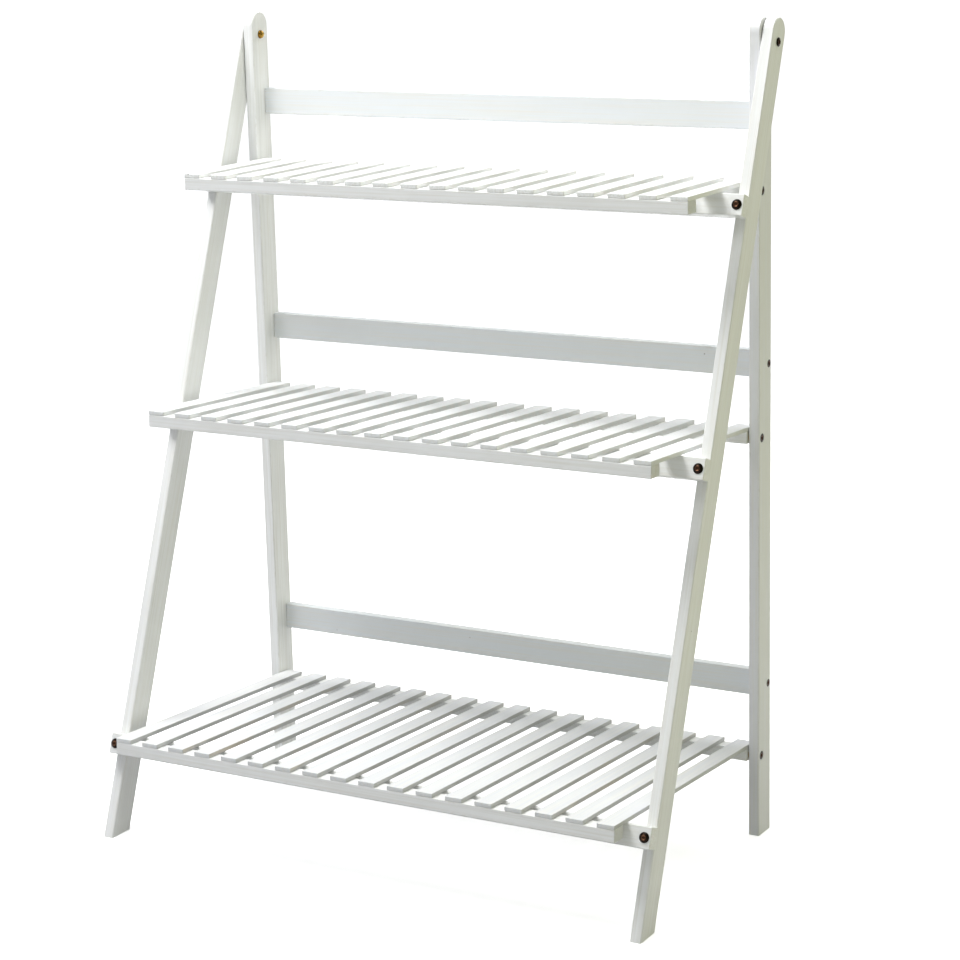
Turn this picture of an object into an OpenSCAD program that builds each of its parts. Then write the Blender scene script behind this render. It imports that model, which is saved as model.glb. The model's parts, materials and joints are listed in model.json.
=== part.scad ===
// Folding plant stand. An upright rear frame and a leaning front frame turn on
// two pivots near their tops, and three slatted shelves turn on the rear legs and
// rest on the front frame's crossbars.
// Millimetres. +Z is up, -Y is the front and +X is the right-hand side. The origin
// is on the floor, at the centre of the open stand's footprint.

/* [Stand] */
// Overall width, which is the length of the front crossbars
stand_w = 700; // [560:5:1000]
// Height of the rear legs
stand_h = 930; // [915:1:960]
// Angle between the front and the rear legs when the stand is open, in degrees
splay_angle = 20.4; // [18.5:0.1:23]

/* [Legs] */
// Width of a leg, seen from the side
leg_w = 32; // [29:0.5:40]
// Thickness of a leg, seen from the front
leg_t = 13; // [12.5:0.5:18]
// Gap between a front leg and a rear leg, which the frame washer fills
leg_gap = 1; // [0.8:0.1:4]
// Distance from the frame pivot up to the centre of a leg's round top
top_above_pivot = 11; // [8:0.5:16]
// Width of the bevel along the edges of legs, bars and boards
edge_ease = 1; // [0.4:0.1:2]

/* [Front crossbars] */
// Height of a crossbar, measured along the leg
crossbar_h = 24; // [20:0.5:34]
// Thickness of a crossbar
crossbar_t = 15; // [12:0.5:20]
// How far a crossbar's end stands out past the front leg
crossbar_proud = 1; // [0:0.5:6]

/* [Back boards] */
// Height of a back board
board_h = 31; // [24:0.5:45]
// Thickness of a back board
board_t = 12; // [10:0.5:14]
// Distance of the top board's centre below the tops of the rear legs
top_board_drop = 106.5; // [80:0.5:125]
// Height of the middle board's centre above the floor
middle_board_z = 549; // [520:0.5:640]
// Height of the bottom board's centre above the floor
bottom_board_z = 177.5; // [150:0.5:350]

/* [Shelves] */
// Height of the top shelf's pivots above the floor
top_shelf_z = 743.5; // [735:0.5:760]
// Height of the middle shelf's pivots above the floor
middle_shelf_z = 468; // [455:0.5:480]
// Height of the bottom shelf's pivots above the floor
bottom_shelf_z = 96; // [80:0.5:106]
// Angle at which the top shelf rises to the front, in degrees
top_shelf_angle = 0; // [0:0.1:5]
// Angle at which the middle shelf rises to the front, in degrees
middle_shelf_angle = 3; // [0:0.1:5]
// Angle at which the bottom shelf rises to the front, in degrees
bottom_shelf_angle = 3; // [0:0.1:5]
// How far the top shelf reaches forward of its pivots
top_shelf_reach = 160; // [130:0.5:175]
// How far the middle shelf reaches forward of its pivots
middle_shelf_reach = 252.5; // [230:0.5:262]
// Depth of a shelf rail, from front to back
rail_d = 20; // [16:0.5:28]
// Height of a shelf rail
rail_h = 14; // [12.5:0.5:18]
// Width of a slat
slat_w = 21.2; // [15:0.1:26]
// Thickness of a slat
slat_t = 5; // [4:0.1:8]
// Width of the bevel along the top edges of a slat
slat_ease = 0.6; // [0.2:0.1:1.5]
// Gap wanted between two slats, which the even spacing then rounds
slat_gap = 15.3; // [8:0.1:30]

/* [Frame pivots] */
// Diameter of the sleeve that both legs turn on
sleeve_d = 8; // [7.4:0.1:9]
// Diameter of the sleeve's domed head, inside the rear leg
sleeve_head_d = 10; // [9.5:0.5:12]
// Height of the sleeve's domed head
sleeve_head_h = 5; // [3:0.5:5.5]
// Diameter of the bolt that screws into the sleeve
frame_bolt_d = 6; // [4:0.1:6.4]
// Diameter of the frame bolt's low head
frame_bolt_head_d = 10; // [9:0.5:12]
// Height of the frame bolt's low head
frame_bolt_head_h = 2; // [1.6:0.1:3]
// Length of the frame bolt under its head
frame_bolt_l = 20; // [12:1:24]
// How far the sleeve ends short of the front leg's outer face
sleeve_recess = 1; // [0.5:0.1:3]
// Outer diameter of the washers between the legs
frame_washer_d = 18; // [12:0.5:24]

/* [Shelf pivots] */
// Diameter of a shelf bolt where it turns in the rear leg
shelf_bolt_d = 6; // [5.2:0.1:7]
// Diameter of a shelf bolt's thread inside the rail
shelf_thread_d = 5; // [3.5:0.1:5.2]
// How far a shelf bolt's thread reaches into the rail
shelf_thread_l = 30; // [20:1:45]
// Diameter of a shelf bolt's sunk head
shelf_bolt_head_d = 10; // [9:0.5:12]
// Height of a shelf bolt's sunk head
shelf_bolt_head_h = 2.5; // [2:0.1:4]
// Outer diameter of the washers between a shelf and the rear legs
shelf_washer_d = 12; // [9:0.5:13]
// Gap between a shelf's side and the rear leg, which the shelf washer fills
shelf_gap = 1; // [0.8:0.1:3]

/* [Screws and nails] */
// Diameter of a crossbar bolt
crossbar_bolt_d = 6; // [4:0.1:7]
// Diameter of a crossbar bolt's domed head
crossbar_bolt_head_d = 11.5; // [9:0.5:13]
// Height of a crossbar bolt's domed head
crossbar_bolt_head_h = 3; // [2:0.1:4]
// How far a crossbar bolt reaches into the front leg
crossbar_bolt_grip = 24; // [12:1:26]
// Height of the straight rim under a domed head
head_rim = 0.6; // [0.3:0.1:1]
// Width across the corners of the hex sockets
hex_socket_d = 4.6; // [3:0.1:5]
// Depth of the hex sockets
hex_socket_depth = 1.5; // [1:0.1:1.8]
// Diameter of a board screw
board_screw_d = 5; // [3:0.1:6]
// Length of a board screw
board_screw_l = 45; // [25:1:60]
// Diameter of a board screw's countersunk head
board_screw_head_d = 9; // [7:0.1:9.5]
// Height of a board screw's countersunk head
board_screw_head_h = 2.4; // [2:0.1:3]
// Diameter of a slat brad
brad_d = 1.5; // [1:0.1:2]
// How far a slat brad reaches into the slat
brad_bite = 3.5; // [2:0.1:3.8]
// Distance of the brads from the ends of the slats
brad_inset = 4.5; // [3:0.1:5]

/* [Fits] */
// Radial play where a part turns on a pin
turn_play = 0.05; // [0.02:0.01:0.1]
// Radial play round a fixed screw or nail
screw_play = 0.03; // [0.01:0.01:0.1]
// Sideways play between parts that turn against each other
side_play = 0.2; // [0.1:0.05:0.4]
// Gap between a shelf's slats and the crossbar below them
rest_play = 0.3; // [0.2:0.05:0.5]
// Gap between a lifted shelf and the back boards
fold_play = 0.5; // [0.3:0.1:2]
// Gap between the bottom shelf's front rail and the crossbar it hooks over
hook_play = 5.4; // [1:0.1:8]

/* [Hidden] */
$fn = 48;
// Overshoot of a cut past the face it opens
cut = 1;

// Which shelf, crossbar or board
TOP = 0;
MIDDLE = 1;
BOTTOM = 2;
LEVELS = [TOP, MIDDLE, BOTTOM];
LEFT = -1;
RIGHT = 1;
SIDES = [LEFT, RIGHT];

paint = "#f1f1ec";
slat_paint = "#e9e9e3";
bronze = "#6b5138";
brass = "#d9b65c";
zinc = "#9a9a96";

// Sideways places, from the outside inwards
front_leg_outer_x = stand_w / 2 - crossbar_proud;
front_leg_inner_x = front_leg_outer_x - leg_t;
rear_leg_outer_x = front_leg_inner_x - leg_gap;
rear_leg_inner_x = rear_leg_outer_x - leg_t;
shelf_side_x = rear_leg_inner_x - shelf_gap;

// Slats share the shelf's width evenly, flush with its sides
slat_count = round((2 * shelf_side_x + slat_gap) / (slat_w + slat_gap));
slat_pitch = (2 * shelf_side_x - slat_w) / (slat_count - 1);
slat_x = [for (i = [0 : slat_count - 1]) slat_w / 2 - shelf_side_x + i * slat_pitch];

// The frame pivot, which the other heights and depths are measured from
pivot_z = stand_h - leg_w / 2 - top_above_pivot;
// Length of the sleeve under its head
sleeve_l = 2 * leg_t + leg_gap - sleeve_recess;
// A lifted shelf stands between the boards and the rear legs' front faces
shelf_fwd = board_t - leg_w / 2 + fold_play + slat_t + rail_h / 2;
// Length of a front leg from the frame pivot to the floor, on its centre line
front_leg_l = pivot_z / cos(splay_angle);
// Distance from a rear leg's outer face in to the underside of a sunk shelf bolt's head
shelf_bolt_seat = side_play / 2 + shelf_bolt_head_h;

shelf_z = [top_shelf_z, middle_shelf_z, bottom_shelf_z];
shelf_angle = [top_shelf_angle, middle_shelf_angle, bottom_shelf_angle];
board_z = [stand_h - top_board_drop, middle_board_z, bottom_board_z];

// Angle between the front frame and shelf k
function lean_angle(k) = splay_angle - shelf_angle[k];
// Distance of the frame pivot above shelf k's own plane through its pivots
function pivot_above_shelf(k) =
    sin(shelf_angle[k]) * shelf_fwd + cos(shelf_angle[k]) * (pivot_z - shelf_z[k]);
// Distance of the frame pivot ahead of shelf k's pivots, along the shelf
function pivot_ahead_of_shelf(k) =
    sin(shelf_angle[k]) * (pivot_z - shelf_z[k]) - cos(shelf_angle[k]) * shelf_fwd;
// Distance down the front leg to crossbar k, whose top front edge carries the slats
function crossbar_drop(k) =
    (pivot_above_shelf(k) - rail_h / 2 + rest_play
        + (leg_w / 2 + crossbar_t - edge_ease) * sin(lean_angle(k)))
    / cos(lean_angle(k)) + crossbar_h / 2;
// Reach along shelf k to the crossbar's front face, level with the rail's underside
function crossbar_reach(k) =
    pivot_ahead_of_shelf(k) + (leg_w / 2 + crossbar_t) / cos(lean_angle(k))
    + (pivot_above_shelf(k) + rail_h / 2) * tan(lean_angle(k));

crossbar_at = [for (k = LEVELS) crossbar_drop(k)];
bottom_shelf_reach = crossbar_reach(BOTTOM) + hook_play + rail_d;
shelf_reach = [top_shelf_reach, middle_shelf_reach, bottom_shelf_reach];

// Seen from above, the open stand runs from its foremost rail or foot to the tops of
// the front legs, which lean back past the rear legs
function shelf_front(k) =
    shelf_fwd + shelf_reach[k] * cos(shelf_angle[k])
    + (rail_h / 2 - edge_ease) * sin(shelf_angle[k]);
foot_front = pivot_z * tan(splay_angle) + leg_w / 2 / cos(splay_angle);
front_reach = max(foot_front, shelf_front(TOP), shelf_front(MIDDLE), shelf_front(BOTTOM));
rear_reach = leg_w / 2 + top_above_pivot * sin(splay_angle);
pivot_y = (front_reach - rear_reach) / 2;

// A rectangle with its corners cut at 45 degrees, centred on the origin
module eased_rect(across, up) {
    a = across / 2;
    b = up / 2;
    a_flat = a - edge_ease;
    b_flat = b - edge_ease;
    polygon([
        [-a_flat, -b], [a_flat, -b], [a, -b_flat], [a, b_flat],
        [a_flat, b], [-a_flat, b], [-a, b_flat], [-a, -b_flat]
    ]);
}

// Extrudes an outline drawn in depth and height along x, centred on the stand's middle
module along_x(length) {
    rotate([90, 0, 90])
        linear_extrude(length, center = true)
            children();
}

// Turns a part that was drawn pointing up so that it points to the right
module point_right() {
    rotate([0, 90, 0])
        children();
}

// Turns a part that was drawn pointing up so that it points to the left
module point_left() {
    rotate([0, -90, 0])
        children();
}

// Turns a part that was drawn pointing up so that it points to the front
module point_front() {
    rotate([90, 0, 0])
        children();
}

// Draws its children on the right-hand side, or mirrored on the left
module on_side(side) {
    if (side == RIGHT)
        children();
    else
        mirror([1, 0, 0])
            children();
}

// Frame pivot as origin, with the upright rear legs hanging down
module rear_frame_place() {
    translate([0, pivot_y, pivot_z])
        children();
}

// Frame pivot as origin, with the leaning front legs hanging straight down
module front_frame_place() {
    translate([0, pivot_y, pivot_z])
        rotate([-splay_angle, 0, 0])
            children();
}

// Middle of shelf k's pivot axis as origin, with the shelf lying level
module shelf_place(k) {
    translate([0, pivot_y - shelf_fwd, shelf_z[k]])
        rotate([-shelf_angle[k], 0, 0])
            children();
}

// Centre of back board k as origin
module board_place(k) {
    translate([0, pivot_y + (leg_w - board_t) / 2, board_z[k]])
        children();
}

// Within the front frame, centre of crossbar k's front face as origin
module crossbar_face(k) {
    translate([0, -leg_w / 2 - crossbar_t, -crossbar_at[k]])
        children();
}

// Within the front frame, places a bolt, or its hole, at crossbar k's right-hand end
module crossbar_end(k) {
    crossbar_face(k)
        translate([front_leg_outer_x - leg_t / 2, 0, 0])
            point_front()
                children();
}

// Plank with a round top, hanging from the frame pivot, centred on its thickness. Half
// the plank's own section, turned about its middle, makes the round top.
module leg_blank(length) {
    translate([0, 0, top_above_pivot])
        union() {
            mirror([0, 0, 1])
                linear_extrude(length + top_above_pivot)
                    eased_rect(leg_t, leg_w);
            rotate([90, 0, 90])
                rotate_extrude(angle = 180)
                    intersection() {
                        eased_rect(leg_w, leg_t);
                        translate([0, -leg_t])
                            square([leg_w, 2 * leg_t]);
                    }
        }
}

// Bolt pointing up, with the underside of its domed head at z = 0
module dome_bolt(head_d, head_h, shank_d, shank_l) {
    cap_h = head_h - head_rim;
    ball_r = (pow(head_d / 2, 2) + pow(cap_h, 2)) / (2 * cap_h);
    intersection() {
        cylinder(d = head_d, h = head_h);
        translate([0, 0, head_h - ball_r])
            sphere(r = ball_r);
    }
    shaft(shank_d, -shank_l, head_h / 2);
}

// Cylinder along z between two heights
module shaft(d, from, to) {
    translate([0, 0, from])
        cylinder(d = d, h = to - from);
}

// Hex socket sunk from the given height, opening upwards
module hex_socket(top) {
    translate([0, 0, top - hex_socket_depth])
        cylinder(d = hex_socket_d, h = hex_socket_depth + cut, $fn = 6);
}

// Ring lying on z = 0
module washer(outer_d, pin_d, thickness) {
    difference() {
        shaft(outer_d, 0, thickness);
        shaft(pin_d + 2 * screw_play, -cut, thickness + cut);
    }
}

// Domed sleeve pointing up, with the underside of its head at z = 0
module frame_sleeve() {
    bolt_in_sleeve = frame_bolt_l - sleeve_recess - side_play;
    difference() {
        dome_bolt(sleeve_head_d, sleeve_head_h, sleeve_d, sleeve_l);
        shaft(frame_bolt_d + 2 * screw_play, -sleeve_l - cut, bolt_in_sleeve + screw_play - sleeve_l);
    }
}

// Low-headed bolt pointing up, with the underside of its head at z = 0
module frame_bolt() {
    difference() {
        dome_bolt(frame_bolt_head_d, frame_bolt_head_h, frame_bolt_d, frame_bolt_l);
        hex_socket(frame_bolt_head_h);
    }
}

// Crossbar bolt pointing up, with the underside of its head at z = 0
module crossbar_bolt() {
    difference() {
        dome_bolt(
            crossbar_bolt_head_d, crossbar_bolt_head_h,
            crossbar_bolt_d, crossbar_t + crossbar_bolt_grip
        );
        hex_socket(crossbar_bolt_head_h);
    }
}

// Hole for a crossbar bolt that points up and bears on z = 0
module crossbar_bolt_hole() {
    shaft(crossbar_bolt_d + 2 * screw_play, -crossbar_t - crossbar_bolt_grip - screw_play, cut);
}

// Shelf bolt pointing up, sunk just below the leg's outer face at z = 0
module shelf_bolt() {
    head_top = shelf_bolt_head_h - shelf_bolt_seat;
    difference() {
        union() {
            shaft(shelf_bolt_head_d, -shelf_bolt_seat, head_top);
            shaft(shelf_bolt_d, -leg_t - shelf_gap, head_top - shelf_bolt_head_h / 2);
            shaft(shelf_thread_d, -leg_t - shelf_gap - shelf_thread_l, -leg_t);
        }
        hex_socket(head_top);
    }
}

// Hole for a shelf bolt in a rear leg, whose outer face is at z = 0
module shelf_bolt_leg_hole() {
    shaft(shelf_bolt_head_d + 2 * side_play, -shelf_bolt_seat - side_play, cut);
    shaft(shelf_bolt_d + 2 * turn_play, -leg_t - cut, 0);
}

// Hole for a shelf bolt's thread in a rail's end, from the same origin
module shelf_bolt_rail_hole() {
    rail_end = -leg_t - shelf_gap;
    shaft(shelf_thread_d + 2 * screw_play, rail_end - shelf_thread_l - screw_play, rail_end + cut);
}

// Outline of a board screw that points up, with its head flush at z = 0; play widens it
module board_screw_outline(play) {
    translate([0, 0, -board_screw_head_h])
        cylinder(
            d1 = board_screw_d + 2 * play, d2 = board_screw_head_d + 2 * play,
            h = board_screw_head_h
        );
    shaft(board_screw_d + 2 * play, -board_screw_l - play, -board_screw_head_h / 2);
}

// Countersunk screw pointing up, with its head flush at z = 0
module board_screw() {
    difference() {
        board_screw_outline(0);
        hex_socket(0);
    }
}

// Hole for a board screw, which also opens the face that the head is flush with
module board_screw_hole() {
    board_screw_outline(screw_play);
    shaft(board_screw_head_d + 2 * screw_play, 0, cut);
}

// Places a shelf bolt, or the hole for it, on one side of shelf k
module at_shelf_pivot(k, side) {
    shelf_place(k)
        on_side(side)
            translate([rear_leg_outer_x, 0, 0])
                point_right()
                    children();
}

// Places a board screw, or the hole for it, at one end of board k
module at_board_end(k, side) {
    board_place(k)
        on_side(side)
            translate([rear_leg_outer_x, 0, 0])
                point_right()
                    children();
}

// Places a brad, or the hole for it, at both ends of every slat of shelf k
module at_slat_ends(k) {
    for (x = slat_x, y = [rail_d / 2 - brad_inset, brad_inset - shelf_reach[k]])
        translate([x, y, 0])
            children();
}

// Upright leg of the rear frame
module rear_leg(side) {
    color(paint)
        difference() {
            on_side(side)
                rear_frame_place()
                    translate([rear_leg_outer_x - leg_t / 2, 0, 0])
                        leg_blank(pivot_z);
            on_side(side)
                rear_frame_place()
                    translate([rear_leg_inner_x, 0, 0])
                        point_right()
                            shaft(sleeve_d + 2 * screw_play, -cut, leg_t + cut);
            for (k = LEVELS) {
                at_shelf_pivot(k, side)
                    shelf_bolt_leg_hole();
                at_board_end(k, side)
                    board_screw_hole();
            }
        }
}

// Board between the rear legs, flush with their backs
module back_board(k) {
    color(paint)
        difference() {
            board_place(k)
                along_x(2 * rear_leg_inner_x)
                    eased_rect(board_t, board_h);
            for (side = SIDES)
                at_board_end(k, side)
                    board_screw_hole();
        }
}

module back_board_screws() {
    color(bronze)
        for (k = LEVELS, side = SIDES)
            at_board_end(k, side)
                board_screw();
}

module frame_pivot_sleeves() {
    color(brass)
        for (side = SIDES)
            on_side(side)
                rear_frame_place()
                    translate([rear_leg_inner_x, 0, 0])
                        point_left()
                            frame_sleeve();
}

module frame_pivot_bolts() {
    color(bronze)
        for (side = SIDES)
            on_side(side)
                rear_frame_place()
                    translate([front_leg_outer_x + side_play, 0, 0])
                        point_right()
                            frame_bolt();
}

module frame_pivot_washers() {
    color(brass)
        for (side = SIDES)
            on_side(side)
                rear_frame_place()
                    translate([rear_leg_outer_x, 0, 0])
                        point_right()
                            washer(frame_washer_d, sleeve_d, leg_gap - side_play);
}

// Leaning leg of the front frame, cut level where it stands on the floor
module front_leg(side) {
    floor_depth = 2 * leg_w;
    color(paint)
        on_side(side)
            front_frame_place()
                difference() {
                    translate([front_leg_outer_x - leg_t / 2, 0, 0])
                        leg_blank(front_leg_l + leg_w);
                    rotate([splay_angle, 0, 0])
                        translate([0, -2 * front_reach, -pivot_z - floor_depth])
                            cube([stand_w, 2 * front_reach, floor_depth]);
                    translate([front_leg_inner_x, 0, 0])
                        point_right()
                            shaft(sleeve_d + 2 * turn_play, -cut, leg_t + cut);
                    for (k = LEVELS)
                        crossbar_end(k)
                            crossbar_bolt_hole();
                }
}

// Bar across the front legs, tilted with them, that carries shelf k
module front_crossbar(k) {
    color(paint)
        front_frame_place()
            difference() {
                crossbar_face(k)
                    translate([0, crossbar_t / 2, 0])
                        along_x(stand_w)
                            eased_rect(crossbar_t, crossbar_h);
                for (side = SIDES)
                    on_side(side)
                        crossbar_end(k)
                            crossbar_bolt_hole();
            }
}

module front_crossbar_bolts() {
    color(bronze)
        front_frame_place()
            for (k = LEVELS, side = SIDES)
                on_side(side)
                    crossbar_end(k)
                        crossbar_bolt();
}

// Bar under the slats of shelf k, centred at the given distance ahead of the pivots
module shelf_rail(k, ahead) {
    shelf_place(k)
        difference() {
            translate([0, -ahead, 0])
                along_x(2 * shelf_side_x)
                    eased_rect(rail_d, rail_h);
            at_slat_ends(k)
                shaft(brad_d + 2 * screw_play, -rail_h / 2 - cut, rail_h / 2 + cut);
        }
}

module shelf_front_rail(k) {
    color(slat_paint)
        shelf_rail(k, shelf_reach[k] - rail_d / 2);
}

// Rail that the shelf turns on, bolted to the rear legs through its ends
module shelf_rear_rail(k) {
    color(slat_paint)
        difference() {
            shelf_rail(k, 0);
            for (side = SIDES)
                at_shelf_pivot(k, side)
                    shelf_bolt_rail_hole();
        }
}

// Slats laid from the rear rail's back to the front rail's front
module shelf_slats(k) {
    a = slat_w / 2;
    a_flat = a - slat_ease;
    color(slat_paint)
        shelf_place(k)
            difference() {
                for (x = slat_x)
                    translate([x, rail_d / 2, rail_h / 2])
                        rotate([90, 0, 0])
                            linear_extrude(shelf_reach[k] + rail_d / 2)
                                polygon([
                                    [-a, 0], [a, 0], [a, slat_t - slat_ease], [a_flat, slat_t],
                                    [-a_flat, slat_t], [-a, slat_t - slat_ease]
                                ]);
                at_slat_ends(k)
                    shaft(brad_d + 2 * screw_play, 0, rail_h / 2 + brad_bite + screw_play);
            }
}

// Headless nails driven up through the rails into the slats
module shelf_slat_brads(k) {
    color(zinc)
        shelf_place(k)
            at_slat_ends(k)
                shaft(brad_d, -rail_h / 2, rail_h / 2 + brad_bite);
}

module shelf_pivot_bolts(k) {
    color(bronze)
        for (side = SIDES)
            at_shelf_pivot(k, side)
                shelf_bolt();
}

// Washers that turn with shelf k, seated on its rear rail's ends
module shelf_pivot_washers(k) {
    color(brass)
        shelf_place(k)
            for (side = SIDES)
                on_side(side)
                    translate([shelf_side_x, 0, 0])
                        point_right()
                            washer(shelf_washer_d, shelf_bolt_d, shelf_gap - side_play);
}

rear_leg(LEFT);  // rear_leg_left
rear_leg(RIGHT);  // rear_leg_right
back_board(TOP);  // back_board_top
back_board(MIDDLE);  // back_board_middle
back_board(BOTTOM);  // back_board_bottom
back_board_screws();
frame_pivot_sleeves();
frame_pivot_bolts();
frame_pivot_washers();
front_leg(LEFT);  // front_leg_left
front_leg(RIGHT);  // front_leg_right
front_crossbar(TOP);  // front_crossbar_top
front_crossbar(MIDDLE);  // front_crossbar_middle
front_crossbar(BOTTOM);  // front_crossbar_bottom
front_crossbar_bolts();
shelf_front_rail(TOP);  // top_shelf_front_rail
shelf_rear_rail(TOP);  // top_shelf_rear_rail
shelf_slats(TOP);  // top_shelf_slats
shelf_slat_brads(TOP);  // top_shelf_slat_brads
shelf_pivot_bolts(TOP);  // top_shelf_pivot_bolts
shelf_pivot_washers(TOP);  // top_shelf_pivot_washers
shelf_front_rail(MIDDLE);  // middle_shelf_front_rail
shelf_rear_rail(MIDDLE);  // middle_shelf_rear_rail
shelf_slats(MIDDLE);  // middle_shelf_slats
shelf_slat_brads(MIDDLE);  // middle_shelf_slat_brads
shelf_pivot_bolts(MIDDLE);  // middle_shelf_pivot_bolts
shelf_pivot_washers(MIDDLE);  // middle_shelf_pivot_washers
shelf_front_rail(BOTTOM);  // bottom_shelf_front_rail
shelf_rear_rail(BOTTOM);  // bottom_shelf_rear_rail
shelf_slats(BOTTOM);  // bottom_shelf_slats
shelf_slat_brads(BOTTOM);  // bottom_shelf_slat_brads
shelf_pivot_bolts(BOTTOM);  // bottom_shelf_pivot_bolts
shelf_pivot_washers(BOTTOM);  // bottom_shelf_pivot_washers
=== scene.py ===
# %% [markdown]
# # A white folding plant ladder, dressed for its photograph
#
# The solid model of the stand already exists: an upright rear frame, a leaning front
# frame and three slatted shelves that turn on sunk bolts. This file loads it, gives
# every piece the surface that the real one shows, and sets up the camera and the
# light. Read it from top to bottom: each cell adds one thing and says why.
#
# The scene is in metres, in the frame of the solid model: the floor is at height 0,
# the front of the stand faces -Y and its right-hand side faces +X. Sizes of the wood
# and of the fasteners are written in millimetres.

import json
import math

import bpy
import numpy as np
from mathutils import Matrix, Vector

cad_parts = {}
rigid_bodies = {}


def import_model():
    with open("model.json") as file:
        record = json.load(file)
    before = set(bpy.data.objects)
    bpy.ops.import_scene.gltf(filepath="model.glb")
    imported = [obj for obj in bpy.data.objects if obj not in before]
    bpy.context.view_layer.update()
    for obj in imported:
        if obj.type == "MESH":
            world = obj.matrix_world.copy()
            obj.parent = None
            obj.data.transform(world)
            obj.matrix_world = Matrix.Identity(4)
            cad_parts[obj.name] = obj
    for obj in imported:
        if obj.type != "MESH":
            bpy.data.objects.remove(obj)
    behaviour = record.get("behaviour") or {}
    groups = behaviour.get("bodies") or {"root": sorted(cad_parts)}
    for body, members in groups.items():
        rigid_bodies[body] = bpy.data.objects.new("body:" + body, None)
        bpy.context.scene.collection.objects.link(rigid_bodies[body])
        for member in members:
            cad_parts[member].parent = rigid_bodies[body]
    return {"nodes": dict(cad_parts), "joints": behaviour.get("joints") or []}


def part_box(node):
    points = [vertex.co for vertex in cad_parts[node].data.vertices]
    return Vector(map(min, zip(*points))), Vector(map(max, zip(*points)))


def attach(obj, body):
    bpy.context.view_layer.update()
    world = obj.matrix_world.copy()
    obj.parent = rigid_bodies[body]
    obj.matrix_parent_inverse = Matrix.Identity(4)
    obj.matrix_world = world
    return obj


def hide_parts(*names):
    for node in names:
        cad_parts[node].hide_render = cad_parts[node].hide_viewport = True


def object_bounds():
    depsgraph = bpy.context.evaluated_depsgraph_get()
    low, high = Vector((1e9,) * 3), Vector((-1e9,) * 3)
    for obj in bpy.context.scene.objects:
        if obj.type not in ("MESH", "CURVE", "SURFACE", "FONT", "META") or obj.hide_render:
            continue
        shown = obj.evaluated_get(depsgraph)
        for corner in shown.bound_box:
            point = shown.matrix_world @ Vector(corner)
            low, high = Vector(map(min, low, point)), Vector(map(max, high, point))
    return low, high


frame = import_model()
MM = 0.001
scene = bpy.context.scene
solid_box = [list(corner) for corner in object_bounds()]
size_mm = [(high - low) / MM for low, high in zip(*solid_box)]
print("pieces:", len(frame["nodes"]), " overall size in mm:", np.round(size_mm, 1))

# %% [markdown]
# ## Where things turn
#
# Three tilts matter on this stand. The rear frame stands upright and the top shelf lies
# level. The front frame leans by 20.4 degrees round the frame pivots. The middle and the
# bottom shelf rise 3 degrees towards the front. All of them are turns about the sideways
# axis, so one angle describes each. The turning points come from the model's joints, so
# nothing has to be fitted by eye.

# %% Pivots and tilts
joint_at = {joint["name"]: np.array(joint["pos_m"]) for joint in frame["joints"]}
FRAME_PIVOT = joint_at["frame_fold"]
FRONT_LEAN = -20.4
SHELF_TILT = {"top": 0.0, "middle": -3.0, "bottom": -3.0}
LEVELS = list(SHELF_TILT)


def turned(points, degrees):
    """Turns points about the X axis: y' = y cos a - z sin a and z' = y sin a + z cos a."""
    a = math.radians(degrees)
    turn = np.array([[1, 0, 0], [0, math.cos(a), -math.sin(a)], [0, math.sin(a), math.cos(a)]])
    return points @ turn.T


print("the frame pivot is", np.round(FRAME_PIVOT / MM, 1), "mm from the middle of the floor")

# %% [markdown]
# ## The camera
#
# A photograph fixes its camera if enough known points can be read in it. Some 320
# readings of the stand's corners and edges gave this one: it stands about three metres
# away, to the right and a little above, behind a long lens. A long lens is why the legs
# look almost parallel. The camera looks at a point on the stand, is tilted sideways by
# little more than a degree, and uses no lens shift and no depth of field.
#
# Cameras and lamps look along their own -Z, so a table of four columns places them: the
# directions of their X, Y and Z, and where they are.

# %% Make the camera
AZIMUTH, ELEVATION, ROLL = (math.radians(a) for a in (29.87, 13.37, -1.36))
LOOK_AT = np.array([45.21, 31.51, 419.54]) * MM
DISTANCE = 2.9634
FOCAL_LENGTH, SENSOR = 98.45, 36.0


def placing(own_x, own_y, own_z, place):
    """The 4 x 4 matrix with three directions and a place as its columns."""
    matrix = np.eye(4)
    matrix[:3] = np.stack([own_x, own_y, own_z, place], 1)
    return Matrix(matrix.tolist())


forward = np.array(
    [
        -math.sin(AZIMUTH) * math.cos(ELEVATION),
        math.cos(AZIMUTH) * math.cos(ELEVATION),
        -math.sin(ELEVATION),
    ]
)
level_right = np.array([math.cos(AZIMUTH), math.sin(AZIMUTH), 0.0])
level_up = np.cross(level_right, forward)
right = math.cos(ROLL) * level_right + math.sin(ROLL) * level_up
up = math.cos(ROLL) * level_up - math.sin(ROLL) * level_right
stands_at = LOOK_AT - forward * DISTANCE

camera = bpy.data.objects.new("camera", bpy.data.cameras.new("camera"))
scene.collection.objects.link(camera)
camera.data.lens = FOCAL_LENGTH
camera.data.sensor_width = SENSOR
camera.matrix_world = placing(right, up, -forward, stands_at)
scene.camera = camera
print("camera at", np.round(stands_at, 3), "m")

# %% [markdown]
# ## Colours and nodes
#
# Colours are written as they look on a screen, which is sRGB. Blender computes with
# light, so one function turns every such colour into linear values. A material is a
# small network of nodes. One function adds a node, sets it up and plugs in its wires.
# Four more stand for steps that come back again and again, so each finish below reads
# as a short list.

# %% Colour and node helpers
WHITE = "#f1f2f1"


def paint_chip(hex_code):
    """sRGB to linear: c / 12.92 below 0.04045, else ((c + 0.055) / 1.055) ** 2.4."""
    code = hex_code.lstrip("#")
    c = np.array([int(code[i : i + 2], 16) for i in (0, 2, 4)]) / 255
    linear = np.where(c <= 0.04045, c / 12.92, ((c + 0.055) / 1.055) ** 2.4)
    return (*linear.tolist(), 1.0)


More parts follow.
